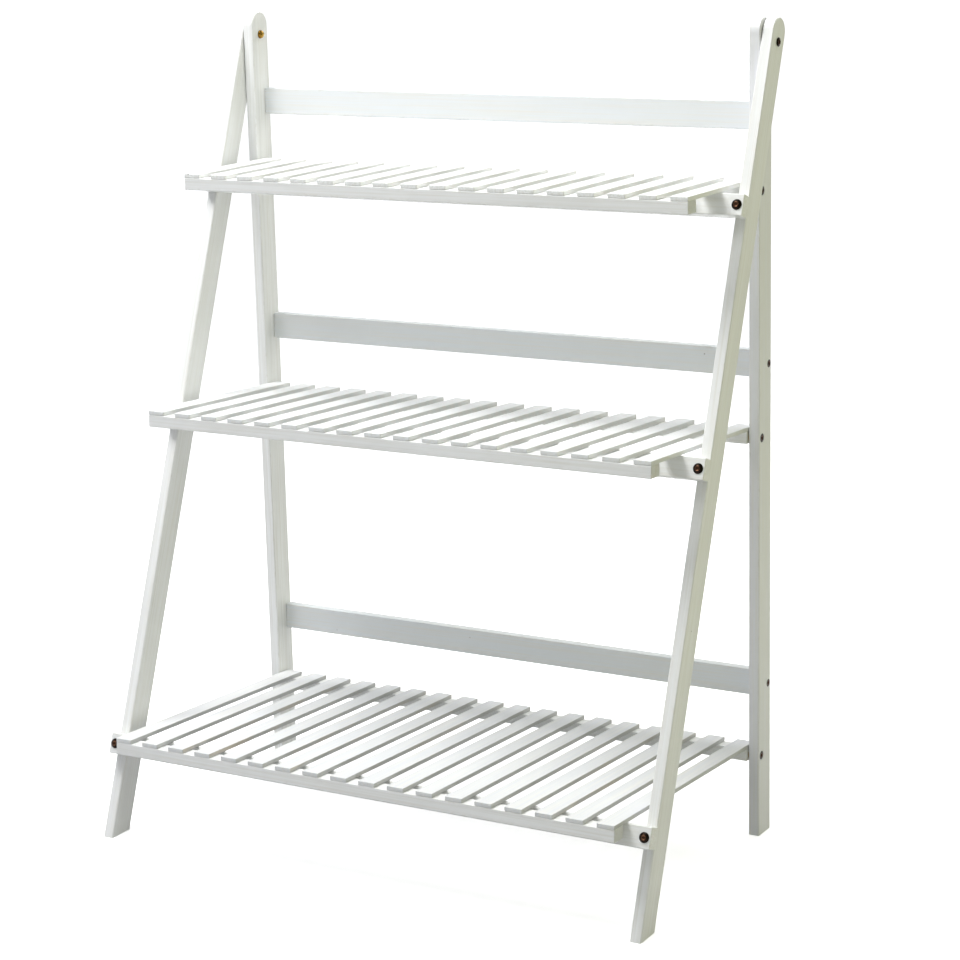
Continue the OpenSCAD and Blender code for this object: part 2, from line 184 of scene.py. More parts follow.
def new_finish(name):
    """A new material and its node tree, which is still empty."""
    finish = bpy.data.materials.new(name)
    finish.use_nodes = True
    finish.node_tree.nodes.clear()
    return finish, finish.node_tree


def add(tree, kind, inputs=None, **settings):
    """Adds a node. A socket among the inputs is linked, and any other value is set."""
    node = tree.nodes.new(kind)
    for name, value in settings.items():
        setattr(node, name, value)
    for name, value in (inputs or {}).items():
        if isinstance(value, bpy.types.NodeSocket):
            tree.links.new(value, node.inputs[name])
        else:
            node.inputs[name].default_value = value
    return node


print("the paint's white in linear light:", np.round(paint_chip(WHITE)[:3], 3))

# %% Steps that come back
def maths(tree, operation, *values):
    """One step of arithmetic on numbers or sockets."""
    return add(tree, "ShaderNodeMath", dict(enumerate(values)), operation=operation).outputs[0]


def times(tree, first, second):
    """Product of two values."""
    return maths(tree, "MULTIPLY", first, second)


def ramp(tree, value, low, high, to_low=0.0, to_high=1.0):
    """Moves a value from low..high to to_low..to_high, held at both ends."""
    steps = {0: value, 1: low, 2: high, 3: to_low, 4: to_high}
    return add(tree, "ShaderNodeMapRange", steps).outputs[0]


def blend(tree, share, first, second):
    """Colour first where the share is 0, second where it is 1."""
    mix = add(tree, "ShaderNodeMix", {0: share, 6: first, 7: second}, data_type="RGBA")
    return mix.outputs[2]


print("steps to build with:", ", ".join(step.__name__ for step in (maths, times, ramp, blend)))

# %% [markdown]
# ## The studio
#
# The photograph was taken in a white studio: what faces up is nearly burnt out, what
# faces the viewer is a light grey, and what faces right is a darker, beige grey. A dome
# of light stands for the walls. It is dim in front, brighter overhead and on the left,
# and brightest on the right. Its colour depends on the direction in the room alone, so
# nothing in it moves with the camera.

# %% Light dome
WALL, WALL_FRONT = (0.46, 0.47, 0.49, 1.0), (0.29, 0.31, 0.335, 1.0)
WALL_RIGHT, WALL_LEFT = (1.12, 1.14, 1.12, 1.0), (1.0, 1.0, 1.02, 1.0)
CEILING = (0.70, 0.71, 0.75, 1.0)

world = bpy.data.worlds.new("light dome")
scene.world = world
world.use_nodes = True
dome_tree = world.node_tree
dome_tree.nodes.clear()
heading = add(dome_tree, "ShaderNodeTexCoord")
split = add(dome_tree, "ShaderNodeSeparateXYZ", {"Vector": heading.outputs["Generated"]})
light = WALL
for axis, start, end, colour in (
    ("Y", -0.1, -0.8, WALL_FRONT),
    ("X", 0.35, 0.85, WALL_RIGHT),
    ("X", -0.4, -0.85, WALL_LEFT),
    ("Z", 0.5, 1.0, CEILING),
):
    light = blend(dome_tree, ramp(dome_tree, split.outputs[axis], start, end), light, colour)
glow = add(dome_tree, "ShaderNodeBackground", {"Color": light, "Strength": 1.0})
add(dome_tree, "ShaderNodeOutputWorld", {"Surface": glow.outputs[0]})
scene.view_settings.view_transform = "Standard"
print("walls:", WALL[:3], "to", WALL_RIGHT[:3])

# %% [markdown]
# Two round soft boxes stand for the lamps. One hangs high in front, on the left,
# because the left ends of the boards are the lighter ones, and each rail throws a short
# soft shadow down and to the right. The other hangs high behind and fills the shadows
# on the slats.

# %% Soft boxes
def hang_soft_box(name, place, aim, across, watts):
    """A round soft box that faces the point it is aimed at."""
    lamp = bpy.data.objects.new(name, bpy.data.lights.new(name, "AREA"))
    lamp.data.shape = "DISK"
    lamp.data.size = across
    lamp.data.energy = watts
    away = np.array(place) - np.array(aim)
    away = away / np.linalg.norm(away)
    sideways = np.cross([0.0, 1.0, 0.0], away)
    sideways = sideways / np.linalg.norm(sideways)
    lamp.matrix_world = placing(sideways, np.cross(away, sideways), away, place)
    scene.collection.objects.link(lamp)
    print(name, "of", watts, "W")


hang_soft_box("soft_box_above", [-0.8, -0.5, 2.5], aim=[0.0, 0.0, 0.45], across=1.1, watts=50)
hang_soft_box("soft_box_behind", [0.15, 1.7, 2.0], aim=[0.0, 0.0, 0.3], across=1.2, watts=18)

# %% [markdown]
# The floor is pale paper. In the photograph it was cleaned away to pure white, so it
# has to look lighter here than the light it would really throw back. That is solved by
# two floors. The paper glows a little and is kept out of the bounced light. A grey
# concrete floor lies 2 mm lower, is never seen, and throws the light back in its place.
# Far away the same paper goes up a round wall, for the camera alone.

# %% Floors and wall
PAPER_RADIUS, WALL_HEIGHT, RIM_POINTS = 40.0, 30.0, 96
CONCRETE_BELOW = 0.002
PAPER = {
    "Base Color": (0.9, 0.9, 0.9, 1.0),
    "Emission Color": (1.0, 1.0, 1.0, 1.0),
    "Emission Strength": 0.52,
}
CONCRETE = {"Base Color": (0.33, 0.33, 0.34, 1.0)}
MATT = {"Roughness": 0.9, "Specular IOR Level": 0.2}


def sheet_of(name, corners, shader, faces=None):
    """A sheet of the studio, which isn't part of the stand: one face, unless told."""
    mesh = bpy.data.meshes.new(name)
    mesh.from_pydata(np.asarray(corners).tolist(), [], faces or [list(range(len(corners)))])
    sheet = bpy.data.objects.new(name, mesh)
    scene.collection.objects.link(sheet)
    finish, tree = new_finish(name.replace("_", " "))
    surface = add(tree, "ShaderNodeBsdfPrincipled", {**MATT, **shader})
    add(tree, "ShaderNodeOutputMaterial", {"Surface": surface.outputs[0]})
    mesh.materials.append(finish)
    return sheet


rim = np.linspace(0, 2 * math.pi, RIM_POINTS, endpoint=False)
disc = PAPER_RADIUS * np.stack([np.cos(rim), np.sin(rim), 0 * rim], 1)
paper = sheet_of("white_paper", disc, PAPER)
here = np.arange(RIM_POINTS)
beside = (here + 1) % RIM_POINTS
upright = np.stack([here, beside, beside + RIM_POINTS, here + RIM_POINTS], 1).tolist()
wall = sheet_of("paper_wall", np.concatenate([disc, disc + [0, 0, WALL_HEIGHT]]), PAPER, upright)
wall.visible_glossy = False
for sheet in (paper, wall):
    sheet.visible_diffuse = False
    sheet.visible_shadow = False
concrete = sheet_of("grey_concrete", disc - [0, 0, CONCRETE_BELOW], CONCRETE)
concrete.visible_camera = False
concrete.visible_glossy = False
print("floors", 2 * PAPER_RADIUS, "m across")

# %% [markdown]
# A beige card that glows beside the stand gives the right-hand sides of the legs their
# tone. The camera doesn't see it, and it throws no shadow.

# %% Beige card
CARD_X, CARD_FRONT, CARD_BACK, CARD_TOP = 1.0, -1.1, 1.0, 1.7
BEIGE_GLOW = {
    "Base Color": (0.0, 0.0, 0.0, 1.0),
    "Emission Color": (0.51, 0.52, 0.33, 1.0),
    "Emission Strength": 1.0,
}

outline = [(CARD_FRONT, 0), (CARD_BACK, 0), (CARD_BACK, CARD_TOP), (CARD_FRONT, CARD_TOP)]
card = sheet_of("beige_card", [(CARD_X, y, z) for y, z in outline], BEIGE_GLOW)
card.visible_camera = False
card.visible_shadow = False
print("card", round(CARD_BACK - CARD_FRONT, 2), "m long and", CARD_TOP, "m high")

# %% [markdown]
# ## A plank
#
# The boards, bars, rails and slats are planed strips of wood. A machine has cut them
# square, and sandpaper and paint have made their edges soft. Edges like these catch a
# thin line of light, which a plain box never shows. A strip is a rounded rectangle
# carried along a straight line. The ends are rounded in the same way, so the whole
# skin is one grid: around the section one way, along the strip the other way.
#
# Two lines of the grid lie a little inside each edge. They let the skin remember how
# near it is to an edge, which the paint needs later on. The normals are worked out
# with the shape, so the faces stay flat to the eye and only the edges turn.

# %% The section of a plank
CORNER_STEPS = 3
EDGE_BAND, BAND_SHARE = 2.6, 0.7

# A size is the two sides of the section and the radius of its edges, in mm.
BOARD, CROSSBAR = (12.0, 31.0, 1.2), (15.0, 24.0, 1.2)
RAIL, SLAT = (20.0, 14.0, 1.0), (21.2, 5.0, 0.8)


def section(width, thick, ease):
    """A rounded rectangle. Each corner is a quarter circle of radius ease about a core,
    with one more point on each side of it, a band's width away or, where that is less,
    a share of half the flat side. A point is core + ease * out. Returns the cores, which
    are moved along the side for the extra points, the directions out, and how near to
    an edge each point is."""
    corners = np.array([[1, 1], [-1, 1], [-1, -1], [1, -1]])
    flat = np.array([width, thick]) / 2 - ease
    band = np.minimum(EDGE_BAND, BAND_SHARE * flat)
    centre, out, near = [], [], []
    for i, sign in enumerate(corners):
        a = math.pi / 2 * i + np.linspace(0, math.pi / 2, CORNER_STEPS)
        arc = np.stack([np.cos(a), np.sin(a)], 1)
        core = sign * flat
        before, after = -np.abs(arc[[0, -1], ::-1]) * sign * band
        centre += [core + before] + [core] * CORNER_STEPS + [core + after]
        out += [arc[0], *arc, arc[-1]]
        near += [0.0] + [1.0] * CORNER_STEPS + [0.0]
    return np.array(centre), np.array(out), np.array(near)


print("points round a section:", len(section(*RAIL)[0]))

# %% [markdown]
# Every skin in this file is a closed tube: rings of points, joined by faces with four
# corners, and one cap at each end. Several tubes of one kind share a mesh, so the same
# faces come back for each, only with higher numbers.

# %% The faces of a tube
def tube_faces(rows, cols, count):
    """Faces of count tubes, each rows rings of cols points. Face (i, j) has the corners
    (i, j), (i, j + 1), (i + 1, j + 1), (i + 1, j), and j starts again after the last."""
    i, j = np.meshgrid(np.arange(rows - 1), np.arange(cols), indexing="ij")
    k = (j + 1) % cols
    quads = np.stack([i * cols + j, i * cols + k, (i + 1) * cols + k, (i + 1) * cols + j], 2)
    start = (np.arange(count) * rows * cols)[:, None, None]
    quads = (quads.reshape(1, -1, 4) + start).reshape(-1, 4)
    ring = np.arange(cols)[None]
    caps = np.concatenate([ring[:, ::-1] + start[:, 0], ring + start[:, 0] + (rows - 1) * cols])
    return quads.tolist() + caps.tolist()


print("two rings of four points have", len(tube_faces(2, 4, 1)), "faces, as a box has")

# %% [markdown]
# No two planks come from the same place in the tree. Each draws a shift for its grain,
# so that the pattern of the paint is another one on each, and a tone for its wood.

# %% The skin of a plank
GRAIN_REACH = 500
dice = np.random.default_rng(11)


def planks(centres, length, size, axes, dice, sawn=0.0, ends=0.0):
    """Strips of one size at several places. A point of the skin is
    centre + along * a + across * b + up * c, where (b, c) = core + ease * out * sin t,
    and a runs from the end by ease * (1 - cos t), with t from 0 to 90 degrees at each
    end. Its normal is out * sin t - along * cos t at the first end, and the same with
    + along * cos t at the last. The shares sawn and ends say how thin the paint is on
    the narrow sides and on the ends, and how much painted shade greys them."""
    core, out, near = section(*size)
    ease = size[2]
    t = np.linspace(0, math.pi / 2, CORNER_STEPS)
    head = np.concatenate([ease * (1 - np.cos(t)), [ease + EDGE_BAND]]) - length / 2
    a = np.concatenate([head, -head[::-1]])[:, None, None]
    sin_t = np.concatenate([np.sin(t), [1.0, 1.0], np.sin(t)[::-1]])[:, None, None]
    cos_t = np.concatenate([-np.cos(t), [0.0, 0.0], np.cos(t)[::-1]])[:, None, None]
    end_near = np.concatenate([np.ones(CORNER_STEPS), [0.0, 0.0], np.ones(CORNER_STEPS)])
    rows, cols, count = len(a), len(core), len(centres)
    on_a_strip, on_all = (rows, cols, 1), (count, rows, cols)
    local = np.concatenate([np.broadcast_to(a, on_a_strip), core + ease * out * sin_t], 2)
    normal = np.concatenate([np.broadcast_to(cos_t, on_a_strip), out * sin_t], 2)
    points = np.array(centres)[:, None, None, :] + (local @ axes)[None]
    normals = np.broadcast_to((normal @ axes)[None], points.shape)
    grain = local[None] + dice.uniform(-GRAIN_REACH, GRAIN_REACH, (count, 1, 1, 3))
    edge = np.maximum(near[None], end_near[:, None])
    # The side value greys sawn faces with painted shade and lets thin paint show tan.
    thin = np.maximum(sawn * np.abs(normal[..., 1]), ends * np.abs(normal[..., 0]))
    tone = dice.uniform(0, 1, (count, 1, 1))
    return {
        "points": points.reshape(-1, 3) * MM,
        "normals": normals.reshape(-1, 3),
        "faces": tube_faces(rows, cols, count),
        "grain": grain.reshape(-1, 3),
        "edge": np.broadcast_to(edge, on_all).ravel(),
        "side": np.broadcast_to(thin, on_all).ravel(),
        "tone": np.broadcast_to(tone, on_all).ravel(),
    }


print("a grain is shifted by up to", GRAIN_REACH, "mm each way")

# %% [markdown]
# ## From numbers to a piece
#
# A skin becomes a mesh by handing its arrays over whole. The extra values, such as the
# grain's own coordinates in millimetres, become attributes that a material can read.

# %% Put a skin into the scene
def make_piece(name, skin, finish, body, *nodes):
    """A mesh object from a skin, which rides on a body and stands for CAD nodes."""
    mesh = bpy.data.meshes.new(name)
    mesh.from_pydata(skin["points"].tolist(), [], skin["faces"])
    mesh.shade_smooth()
    for key, values in skin.items():
        if key in ("points", "faces", "normals"):
            continue
        flat = np.asarray(values, np.float32)
        kind, field = ("FLOAT", "value") if flat.ndim == 1 else ("FLOAT_VECTOR", "vector")
        mesh.attributes.new(key, kind, "POINT").data.foreach_set(field, flat.ravel())
    if "normals" in skin:
        mesh.normals_split_custom_set_from_vertices(skin["normals"].tolist())
    mesh.materials.append(finish)
    piece = bpy.data.objects.new(name, mesh)
    scene.collection.objects.link(piece)
    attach(piece, body)
    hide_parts(*nodes)
    return piece


# %% [markdown]
# ## White satin paint on planed pine
#
# The stand is softwood under white alkyd paint with a satin sheen. The paint fills the
# grain without hiding it: the hard lines of the year rings stand up by a hundredth or
# two of a millimetre, and a brush leaves finer lines beside them. Corners that get
# knocked wear towards the primer, and small darker grey specks sit here and there.
#
# The pattern needs coordinates along the grain. The planks made here carry them. The
# legs are the model's own solids, so for them a Mapping node turns the object's
# coordinates into the leg's frame. Each leg gets its own shift, so that no two show the
# same pattern.

# %% Coordinates of a plank and of a leg
LEG_W, LEG_T, TOP_ABOVE_PIVOT = 32.0, 13.0, 11.0
WORN_WITHIN, SOUND_BEYOND = 0.6, 3.2


def plank_values(tree):
    """Grain coordinates in mm, nearness to an edge, side and tone, as made with the skin."""
    read = [("grain", "Vector"), ("edge", "Fac"), ("side", "Fac"), ("tone", "Fac")]
    return [
        add(tree, "ShaderNodeAttribute", attribute_name=key).outputs[kind] for key, kind in read
    ]


def leg_values(tree, middle_x, lean):
    """The same for a leg, which has no side or tone. In its frame, whose origin is the
    frame pivot, the nearest edge is max(half thickness - |x|, half width - r) away, with
    r = |y| below the centre of the round top and the distance from that centre above."""
    placed = {
        "Vector": add(tree, "ShaderNodeTexCoord").outputs["Object"],
        "Location": (middle_x * MM, FRAME_PIVOT[1], FRAME_PIVOT[2]),
        "Rotation": (math.radians(lean), 0, 0),
        "Scale": (MM, MM, MM),
    }
    own = add(tree, "ShaderNodeMapping", placed, vector_type="TEXTURE")
    x, y, z = add(tree, "ShaderNodeSeparateXYZ", {"Vector": own.outputs[0]}).outputs
    above = maths(tree, "MAXIMUM", maths(tree, "SUBTRACT", z, TOP_ABOVE_PIVOT), 0.0)
    across = add(tree, "ShaderNodeCombineXYZ", {0: y, 1: above}).outputs[0]
    radius = add(tree, "ShaderNodeVectorMath", {0: across}, operation="LENGTH").outputs["Value"]
    from_side = maths(tree, "SUBTRACT", LEG_W / 2, radius)
    from_face = maths(tree, "SUBTRACT", LEG_T / 2, maths(tree, "ABSOLUTE", x))
    away = maths(tree, "MAXIMUM", from_side, from_face)
    near = ramp(tree, away, WORN_WITHIN, SOUND_BEYOND, 1.0, 0.0)
    grain = add(tree, "ShaderNodeCombineXYZ", {0: z, 1: y, 2: x}).outputs[0]
    shift = {0: grain, 1: (3 * middle_x, lean, 0)}
    shifted = add(tree, "ShaderNodeVectorMath", shift, operation="ADD").outputs[0]
    return shifted, near, None, None


print("a leg's edges are worn up to", SOUND_BEYOND, "mm inwards")

# %% [markdown]
# One recipe makes all of the paint, and only the white differs. But for the darker
# specks, every pattern in it is a stretched noise, told by its length along the grain
# and its spacing across it. A ramp then says from which value of the noise the pattern
# starts to show, where it is full, and how strong it gets.
#
# The narrow sides of the slats and the ends of the rails were sawn, and their coat is
# thin. They are painted greyer, as painted shade, and where a piece drew a high tone,
# some of the wood's tan comes through.

# %% The paint's recipe
# A pattern is its length along the grain, its spacing across it, both in mm, and detail.
YEAR_RINGS, BRUSH_STROKES, CLOUDS = (140.0, 2.2, 2.0), (45.0, 0.8, 1.0), (240.0, 11.0, 1.0)
THIN_PATCHES, CHIPS = (60.0, 12.0, 1.0), (9.0, 3.0, 3.0)
DARK_SPECK_SPACING = 55.0
PAINT_RELIEF = 0.08
# The grey for sawn faces is painted shade; the cream and the cloud grey are the paint's own.
RING_CREAM, CLOUD_GREY, SAWN_FACE_SHADE = (paint_chip(c) for c in ("#e6e5df", "#e5e6e4", "#b4b5b4"))
WOOD_TAN, PRIMER, DARK_SPECK = (paint_chip(c) for c in ("#cdb898", "#d8d3c6", "#98938a"))


def lines(tree, grain, along_mm, across_mm, detail):
    """Streaks along the grain: noise stretched to the length and the spacing given."""
    stretch = {0: grain, 1: (1 / along_mm, 1 / across_mm, 1 / across_mm)}
    place = add(tree, "ShaderNodeVectorMath", stretch, operation="MULTIPLY").outputs[0]
    noise = {"Vector": place, "Scale": 1.0, "Detail": detail, "Roughness": 0.55}
    return add(tree, "ShaderNodeTexNoise", noise).outputs["Fac"]


def sawn_sides_and_shade(tree, colour, grain, side, tone):
    """Greys what was sawn as painted shade, and lets some tan through where the tone is high."""
    colour = blend(tree, times(tree, side, 0.85), colour, SAWN_FACE_SHADE)
    patchy = ramp(tree, lines(tree, grain, *THIN_PATCHES), 0.45, 0.7)
    thin = times(tree, times(tree, side, ramp(tree, tone, 0.6, 1.0, 0.0, 0.6)), patchy)
    return blend(tree, thin, colour, WOOD_TAN)


def satin_paint(name, white, leg=None):
    """The painted pine, for planks or for a leg, which is told by its middle and lean."""
    finish, tree = new_finish(name)
    grain, edge, side, tone = leg_values(tree, *leg) if leg else plank_values(tree)
    rings = lines(tree, grain, *YEAR_RINGS)
    strokes = lines(tree, grain, *BRUSH_STROKES)
    clouds = lines(tree, grain, *CLOUDS)
    colour = blend(tree, ramp(tree, rings, 0.42, 0.72, 0.0, 0.8), paint_chip(white), RING_CREAM)
    colour = blend(tree, ramp(tree, clouds, 0.5, 0.75, 0.0, 0.6), colour, CLOUD_GREY)
    if side is not None:
        colour = sawn_sides_and_shade(tree, colour, grain, side, tone)
    chips = ramp(tree, lines(tree, grain, *CHIPS), 0.56, 0.66)
    worn = times(tree, times(tree, edge, chips), 0.3)
    colour = blend(tree, worn, colour, PRIMER)
    spread = {"Vector": grain, "Scale": 1 / DARK_SPECK_SPACING, "Randomness": 1.0}
    cells = add(tree, "ShaderNodeTexVoronoi", spread)
    dark_speck = ramp(tree, cells.outputs["Distance"], 0.012, 0.02, 1.0, 0.0)
    colour = blend(tree, times(tree, dark_speck, 0.8), colour, DARK_SPECK)
    raised = maths(tree, "MULTIPLY_ADD", rings, 0.6, times(tree, strokes, 0.4))
    relief = maths(tree, "SUBTRACT", raised, worn)
    height = {"Strength": 0.35, "Distance": PAINT_RELIEF * MM, "Height": relief}
    coat = {
        "Base Color": colour,
        "Roughness": ramp(tree, strokes, 0.3, 0.7, 0.36, 0.46),
        "Normal": add(tree, "ShaderNodeBump", height).outputs[0],
        "Specular IOR Level": 0.45,
    }
    surface = add(tree, "ShaderNodeBsdfPrincipled", coat)
    add(tree, "ShaderNodeOutputMaterial", {"Surface": surface.outputs[0]})
    return finish


print("year rings lie about", YEAR_RINGS[1], "mm apart")

# %% [markdown]
# The whites were set by comparing renders with the photograph, and they hold painted
# light and shade. Against the rails, the boards are painted cooler and a little greyer,
# as painted shade. The slats are greyer on the bottom and the middle shelf, as painted
# shade, and a touch whiter on the top one, as painted light. The left rear leg is a
# touch whiter than the front legs, as painted light, and the right one is greyer, as
# painted shade.

# %% Paint for the planks, and on the legs
# Painted shade greys the lower shelves' slats, and painted light whitens the top ones.
SLAT_WHITE_AND_SHADE = {"top": "#f6f7f6", "middle": "#e8eaeb", "bottom": "#dcdee0"}


def middle(node):
    """Centre of a node's box, in mm."""
    low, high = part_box(node)
    return (np.array(low) + np.array(high)) / 2 / MM


def coat_solid(node, finish):
    """Gives one of the model's own solids its finish, and changes nothing else."""
    finishes = frame["nodes"][node].data.materials
    finishes.clear()
    finishes.append(finish)


plank_paint = satin_paint("white satin paint on planed pine", WHITE)
# The boards' cooler, greyer white is painted shade.
board_paint_and_shade = satin_paint("white satin paint with painted shade on planed pine", "#e5e9eb")
slat_paint = {
    level: satin_paint(f"thin white satin paint on the {level} shelf's slats", white)
    for level, white in SLAT_WHITE_AND_SHADE.items()
}
rear_x = middle("rear_leg_right")[0]
front_x = middle("front_leg_right")[0]
# The rear legs' whites are painted light on the left one and painted shade on the right.
for node, middle_x, lean, white in (
    ("rear_leg_left", -rear_x, 0.0, "#f6f7f6"),
    ("rear_leg_right", rear_x, 0.0, "#e9eaed"),
    ("front_leg_left", -front_x, FRONT_LEAN, WHITE),
    ("front_leg_right", front_x, FRONT_LEAN, WHITE),
):
    name = "white satin paint on the " + node.replace("_", " ")
    coat_solid(node, satin_paint(name, white, (middle_x, lean)))
print("legs at", round(rear_x, 2), "and", round(front_x, 2), "mm from the middle")

# %% [markdown]
# ## Boards, bars and rails
#
# Twelve strips run from side to side: three boards between the rear legs, three bars
# across the front legs and two rails under each shelf. The middle of a strip is the
# middle of its solid's box, even where the strip is turned, so only the section and
# the turn have to be told. A rail's ends are sawn, so the paint is thinner there, and
# they are greyed with painted shade.

# %% Lay the strips
SIDEWAYS = np.eye(3)
# Share of thin paint and painted shade on a rail's ends.
RAIL_ENDS = 0.5


def lay_strip(node, body, size, tilt, ends=0.0, paint=plank_paint):
    """One strip from side to side, as long as its node."""
    low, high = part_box(node)
    length = (high[0] - low[0]) / MM
    skin = planks([middle(node)], length, size, turned(SIDEWAYS, tilt), dice, ends=ends)
    piece = make_piece(node + "_painted", skin, paint, body, node)


for level in LEVELS:
    shelf, tilt = f"{level}_shelf", SHELF_TILT[level]
    lay_strip(f"back_board_{level}", "rear_frame", BOARD, 0.0, paint=board_paint_and_shade)
    lay_strip(f"front_crossbar_{level}", "front_frame", CROSSBAR, FRONT_LEAN)
    for rail in ("front_rail", "rear_rail"):
        lay_strip(f"{shelf}_{rail}", shelf, RAIL, tilt, RAIL_ENDS)
print("strips laid:", 4 * len(LEVELS))

# %% [markdown]
# ## Slats
#
# Each shelf has 18 slats, 21.2 mm wide and 5 mm thick, laid from the back of the rear
# rail to the front of the front rail. They are the same strip as before, only turned
# so that the grain runs from back to front. All the slats of a shelf are one skin,
# made at once by giving the function 18 places. Each draws its own tone and its own
# stretch of grain. The sawn sides are greyed with painted shade and show the wood's tan,
# most on the bottom shelf and not at all on the top one, so each shelf has its own share
# of that.

# %% Lay the slats
SLATS = 18
# Share of painted shade and thin paint on the slats' sawn sides, for each shelf.
SHELF_SIDE_SHADE = {"top": 0.0, "middle": 0.15, "bottom": 0.9}
FRONTWARDS = np.array([[0.0, -1.0, 0.0], [1.0, 0.0, 0.0], [0.0, 0.0, 1.0]])

for level in LEVELS:
    node = f"{level}_shelf_slats"
    low, high = (np.array(corner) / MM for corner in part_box(node))
    width, thick = SLAT[:2]
    tilt = math.radians(abs(SHELF_TILT[level]))
    length = ((high - low)[1] - thick * math.sin(tilt)) / math.cos(tilt)
    places = np.tile(middle(node), (SLATS, 1))
    places[:, 0] = np.linspace(low[0] + width / 2, high[0] - width / 2, SLATS)
    skin = planks(places, length, SLAT, turned(FRONTWARDS, SHELF_TILT[level]), dice, SHELF_SIDE_SHADE[level])
    piece = make_piece(node + "_painted", skin, slat_paint[level], f"{level}_shelf", node)
    print(level, "shelf: slats", round(length, 1), "mm long")

# %% [markdown]
# ## Bolts, screws and sleeves
#
# A bolt's head is pressed from wire, its socket is pressed in with a six-sided punch,
# and its thread is rolled. A sleeve is turned on a lathe. All of it fits one grid: rings
# that climb from the tip of the shank to the bottom of the socket. A ring's radius is a
# plain number on the round parts, is pulled in between six corners in the socket, and
# dips along a spiral on the thread. Small roundings at the rims are rings too. The rings
# carry a value for rubbing and painted glints: in a socket it marks copper where the key
# wears the plating off, which is also a painted copper glint, and on a brass head it
# marks a painted highlight in the middle.

# %% The skin of a bolt
TURN_STEPS = 48


def spun(rings, pitch, places, outward, dice):
    """Bolts of one shape. A ring is (radius, height, six, dip, rub). At angle p the
    radius is r * ((1 - six) + six * cos 30 / cos((p mod 60) - 30)), less
    dip * |2 f - 1|, where f is the fraction of height / pitch - p / 360."""
    radius, height, six, dip, rub_and_glint = np.array(rings, float).T[:, :, None]
    p = np.linspace(0, 2 * math.pi, TURN_STEPS, endpoint=False)[None]
    corner = math.cos(math.pi / 6) / np.cos(np.mod(p, math.pi / 3) - math.pi / 6)
    spiral = np.mod(height / pitch - p / (2 * math.pi), 1.0)
    r = radius * ((1 - six) + six * corner) - dip * np.abs(2 * spiral - 1)
    local = np.stack([r * np.cos(p), r * np.sin(p), height + 0 * p], 2)
    rows, count = len(rings), len(places)
    out = np.asarray(outward, float)
    first = np.cross(out, [[0.0, 0.6, 0.8]])
    first = first / np.linalg.norm(first, axis=1, keepdims=True)
    axes = np.stack([first, np.cross(out, first), out], 1)
    points = np.asarray(places)[:, None, None] + np.einsum("rcj,njk->nrck", local, axes)
    grain = local[None] + dice.uniform(-GRAIN_REACH, GRAIN_REACH, (count, 1, 1, 3))
    return {
        "points": points.reshape(-1, 3) * MM,
        "faces": tube_faces(rows, TURN_STEPS, count),
        "grain": grain.reshape(-1, 3),
        "rub_and_glint": np.broadcast_to(rub_and_glint[None], (count, rows, TURN_STEPS)).ravel(),
    }


print("points round a bolt:", TURN_STEPS)

# %% Rings of a shank, a head and a socket
TIP_CHAMFER = 0.8
RINGS_PER_TURN = 4
DOME_STEPS = 12
SOCKET_R, SOCKET_DEPTH, SOCKET_MOUTH = 2.3, 1.5, 2.6


def plain(profile):
    """Plain round rings from (radius, height) points."""
    return [(radius, height, 0.0, 0.0, 0.0) for radius, height in profile]


def shank(radius, tip, thread_top, top, pitch, dip):
    """Rings of a shank: a chamfered tip, a thread up to a height, then plain."""
    start = tip + TIP_CHAMFER
    heights = np.arange(start, thread_top, pitch / RINGS_PER_TURN)
    thread = [(radius, height, 0.0, dip, 0.0) for height in heights.tolist()]
    chamfer = plain([(radius - TIP_CHAMFER, tip), (radius - dip, start)])
    return chamfer + thread + plain([(radius, thread_top), (radius, top)])


def dome(head_d, head_h, rim, stop, rub_and_glint_width=0.5):
    """Rings of a domed head from its underside to the radius where the dome stops. The
    dome is a ball of radius (R * R + c * c) / 2c, with R the head's radius and c the
    cap's height. The value for rubbing and painted glint falls from 1 to 0 over the
    width given, outwards from the stop."""
    big, cap = head_d / 2, head_h - rim
    ball = (big * big + cap * cap) / (2 * cap)
    r = np.linspace(big - 0.15, stop, DOME_STEPS)
    z = head_h - ball + np.sqrt(ball * ball - r * r)
    rub_and_glint = np.clip(1 - (r - stop) / rub_and_glint_width, 0, 1)
    lower = [(big - 0.3, 0.0), (big - 0.08, 0.08), (big, 0.3), (big, rim - 0.15), (big - 0.04, rim)]
    cap_rings = zip(r.tolist(), z.tolist(), rub_and_glint.tolist())
    return plain(lower) + [(a, b, 0.0, 0.0, c) for a, b, c in cap_rings]


def socket(top):
    """Rings of the hex socket: from its round mouth over six sides down to the bottom."""
    floor = top - SOCKET_DEPTH
    # The last value of each ring marks worn copper, which also serves as a painted glint.
    return [
        (SOCKET_MOUTH, top, 0.0, 0.0, 0.7),
        (SOCKET_R + 0.15, top - 0.05, 0.6, 0.0, 1.0),
        (SOCKET_R, top - 0.25, 1.0, 0.0, 1.0),
        (SOCKET_R, floor + 0.1, 1.0, 0.0, 1.0),
        (SOCKET_R - 0.15, floor, 1.0, 0.0, 1.0),
        (1.3, floor, 0.0, 0.0, 0.8),
        (0.3, floor - 0.3, 0.0, 0.0, 0.5),
    ]


print("opposite corners of the socket are", 2 * SOCKET_R, "mm apart")

# %% [markdown]
# ## Metal finishes
#
# The bolts and screws are steel with a dark bronze plating, nearly black, which the
# tumbling drum has left slightly uneven. The two sleeves are yellow brass, turned and
# left bare: a dull brass with a painted highlight in the middle of each head, and the
# washers are stamped from brass sheet. The brads are drawn steel wire with a thin coat
# of zinc. A metal takes its look from what it mirrors, so each gets a fine relief and a
# roughness that varies, both from patterns that are measured in millimetres.

# %% Mix the metals
# Spacing and detail of the patterns, in mm, the same along the piece and across it.
PATCHES, TOOL_MARKS, RAGGED_EDGE = (3.0, 3.0, 2.0), (0.35, 0.35, 2.0), (0.9, 0.9, 3.0)
TOOL_RELIEF = 0.03


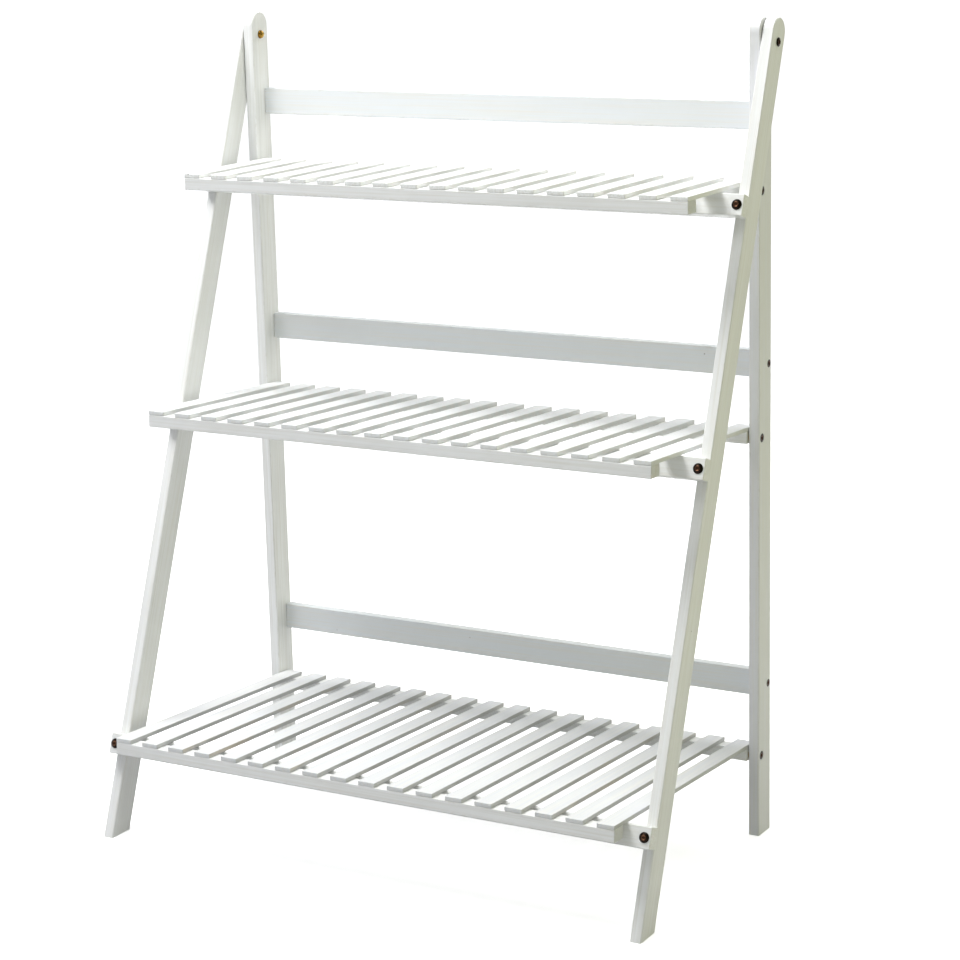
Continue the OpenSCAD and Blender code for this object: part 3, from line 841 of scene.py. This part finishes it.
def metal_finish(name, body, tint, shine, worn=None, turned_piece=True):
    """A metal with cloudy patches of a second tint, fine tool marks and, where a worn
    colour is given, that colour where the rubbing value is high: worn copper and a
    painted glint in the bolts' sockets, a painted highlight on the brass heads. Pieces
    made here carry their own coordinates, and the model's solids use the object's, in
    millimetres."""
    finish, tree = new_finish(name)
    if turned_piece:
        grain = add(tree, "ShaderNodeAttribute", attribute_name="grain").outputs["Vector"]
    else:
        where = add(tree, "ShaderNodeTexCoord").outputs["Object"]
        in_mm = {0: where, 1: (1 / MM, 1 / MM, 1 / MM)}
        grain = add(tree, "ShaderNodeVectorMath", in_mm, operation="MULTIPLY").outputs[0]
    patches = lines(tree, grain, *PATCHES)
    marks = lines(tree, grain, *TOOL_MARKS)
    colour = blend(tree, ramp(tree, patches, 0.4, 0.65), paint_chip(body), paint_chip(tint))
    if worn is not None:
        rub_and_glint = add(tree, "ShaderNodeAttribute", attribute_name="rub_and_glint").outputs["Fac"]
        ragged = ramp(tree, lines(tree, grain, *RAGGED_EDGE), 0.35, 0.6, 0.25, 1.0)
        colour = blend(tree, times(tree, rub_and_glint, ragged), colour, paint_chip(worn))
    relief = {"Strength": 0.4, "Distance": TOOL_RELIEF * MM, "Height": marks}
    metal = {
        "Base Color": colour,
        "Metallic": 1.0,
        "Roughness": ramp(tree, patches, 0.35, 0.7, *shine),
        "Normal": add(tree, "ShaderNodeBump", relief).outputs[0],
    }
    surface = add(tree, "ShaderNodeBsdfPrincipled", metal)
    add(tree, "ShaderNodeOutputMaterial", {"Surface": surface.outputs[0]})
    return finish


# The bronze's worn colour is copper in the sockets: wear and a painted glint.
bronze = metal_finish(
    "dark bronze plating on cold-headed steel", "#17120f", "#211a15", (0.3, 0.42), "#6a4b39"
)
# The brass's worn colour is a painted highlight in the middle of the sleeve heads.
brass = metal_finish(
    "yellow brass, turned and left bare", "#8f6c2a", "#6f501c", (0.14, 0.26), "#e0bf6a"
)
zinc = metal_finish(
    "zinc plating on drawn steel wire", "#b9bcbf", "#a3a7ab", (0.34, 0.5), turned_piece=False
)
washer_brass = metal_finish(
    "yellow brass, stamped from sheet", "#b8944a", "#94733a", (0.2, 0.34), turned_piece=False
)
for node in frame["nodes"]:
    for ending, metal in (("_washers", washer_brass), ("_brads", zinc)):
        if node.endswith(ending):
            coat_solid(node, metal)
print("metals:", bronze.name, "/", brass.name, "/", washer_brass.name, "/", zinc.name)

# %% [markdown]
# ## Turn the fasteners
#
# Every fastener sits where its solid does. The heights of its rings count outwards from
# its seat, at the face of the wood. Each new skin is compared with the box of its solid.
#
# The crossbar bolts bear on the fronts of the bars, in line with the front legs' middles.

# %% Crossbar bolts
SIDES = np.array([[-1.0, 0.0, 0.0], [1.0, 0.0, 0.0]])
FORWARDS = np.array([[0.0, -1.0, 0.0]])
UPRIGHT_PLANE = [0, 1, 1]
SHARP_FROM = math.radians(38)
BOLT_PITCH, HEAD_RIM, DOME_STOP = 1.0, 0.6, 2.75
CROSSBAR_BOLT_X = 342.5


def lay_fasteners(node, body, finish, rings, pitch, places, outward):
    """Fasteners of one kind in place of their node, with the difference of the boxes."""
    skin = spun(rings, pitch, places, outward, dice)
    piece = make_piece(node + "_turned", skin, finish, body, node)
    piece.data.set_sharp_from_angle(angle=SHARP_FROM)
    own = np.array([skin["points"].min(0), skin["points"].max(0)])
    apart = np.abs(own - np.array(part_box(node))).max() / MM
    print(node, "differs by", np.round(apart, 2), "mm")


bolt_seats = turned(CROSSBAR_BOLT_X * SIDES + CROSSBAR[0] / 2 * FORWARDS, FRONT_LEAN)
crossbar_bolt = (
    shank(radius=3.0, tip=-39.0, thread_top=-15.0, top=0.0, pitch=BOLT_PITCH, dip=0.5)
    + dome(head_d=11.5, head_h=3.0, rim=HEAD_RIM, stop=DOME_STOP)
    + socket(2.65)
)
lay_fasteners(
    "front_crossbar_bolts",
    "front_frame",
    bronze,
    crossbar_bolt,
    BOLT_PITCH,
    np.concatenate([middle(f"front_crossbar_{level}") + bolt_seats for level in LEVELS]),
    np.tile(turned(FORWARDS, FRONT_LEAN), (2 * len(LEVELS), 1)),
)

# %% [markdown]
# A sleeve goes from inside through the rear leg and into the front one, and a low-headed
# bolt screws into it from outside. The bolt's head stands 0.2 mm off the front leg, so
# that the leg can turn. The sleeve's rings run from the bottom of its bore over its open
# end and back along its outside to the domed head.

# %% Frame pivots
REAR_LEG_INSIDE, REAR_LEG_OUTSIDE, LOW_HEAD_SEAT = 322.0, 335.0, 349.2

bore = [(3.03, -7.2), (3.03, -25.8), (3.25, -26.0), (3.8, -26.0), (4.0, -25.8), (4.0, 0.0)]
low_bolt = (
    shank(radius=3.0, tip=-20.0, thread_top=-4.0, top=0.0, pitch=BOLT_PITCH, dip=0.5)
    + dome(head_d=10.0, head_h=2.0, rim=HEAD_RIM, stop=DOME_STOP)
    + socket(1.78)
)
frame_pivots = np.tile(FRAME_PIVOT / MM, (2, 1)) * UPRIGHT_PLANE
# The sleeve heads' bright middle, 3.8 mm wide, is a painted highlight.
lay_fasteners(
    "frame_pivot_sleeves",
    "rear_frame",
    brass,
    plain(bore) + dome(head_d=10.0, head_h=5.0, rim=HEAD_RIM, stop=0.05, rub_and_glint_width=3.8),
    BOLT_PITCH,
    frame_pivots + REAR_LEG_INSIDE * SIDES,
    -SIDES,
)
lay_fasteners(
    "frame_pivot_bolts",
    "rear_frame",
    bronze,
    low_bolt,
    BOLT_PITCH,
    frame_pivots + LOW_HEAD_SEAT * SIDES,
    SIDES,
)

# %% [markdown]
# The shelf bolts are sunk in round holes in the rear legs. Their threads sit in the
# ends of the rear rails, and a thicker plain part turns in the leg.

# %% Shelf bolts
HEAD_TOP, HEAD_FOOT, RAIL_END = -0.1, -2.6, -14.0

sunk_head = [(4.8, HEAD_FOOT), (5.0, -2.45), (5.0, -0.6), (4.9, -0.3), (4.6, -0.12)]
sunk_head += [(4.2, HEAD_TOP), (3.4, HEAD_TOP)]
shelf_bolt = (
    shank(radius=2.5, tip=-44.0, thread_top=RAIL_END, top=RAIL_END, pitch=BOLT_PITCH, dip=0.4)
    + plain([(3.0, RAIL_END), (3.0, HEAD_FOOT)])
    + plain(sunk_head)
    + socket(HEAD_TOP)
)
for level in LEVELS:
    shelf_pivots = np.tile(joint_at[f"{level}_shelf_lift"] / MM, (2, 1)) * UPRIGHT_PLANE
    lay_fasteners(
        f"{level}_shelf_pivot_bolts",
        f"{level}_shelf",
        bronze,
        shelf_bolt,
        BOLT_PITCH,
        shelf_pivots + REAR_LEG_OUTSIDE * SIDES,
        SIDES,
    )

# %% [markdown]
# The board screws go through the rear legs into the ends of the boards. They have a
# coarser thread, and their countersunk heads are flush with the wood.

# %% Board screws
SCREW_PITCH, HEAD_BELOW = 2.2, -2.4

flush_head = [(2.5, HEAD_BELOW), (4.4, -0.12), (4.48, -0.04), (4.4, 0.0), (3.4, 0.0)]
board_screw = (
    shank(radius=2.5, tip=-45.0, thread_top=-14.0, top=HEAD_BELOW, pitch=SCREW_PITCH, dip=0.7)
    + plain(flush_head)
    + socket(0.0)
)
board_middles = [middle(f"back_board_{level}") * UPRIGHT_PLANE for level in LEVELS]
lay_fasteners(
    "back_board_screws",
    "rear_frame",
    bronze,
    board_screw,
    SCREW_PITCH,
    np.concatenate([board + REAR_LEG_OUTSIDE * SIDES for board in board_middles]),
    np.tile(SIDES, (len(LEVELS), 1)),
)

# %% [markdown]
# ## Close
#
# The last cell counts the skins made here.

# %% Count the skins
skins = [thing for thing in scene.objects if thing.name.endswith(("_painted", "_turned"))]
print("skins made here:", len(skins))
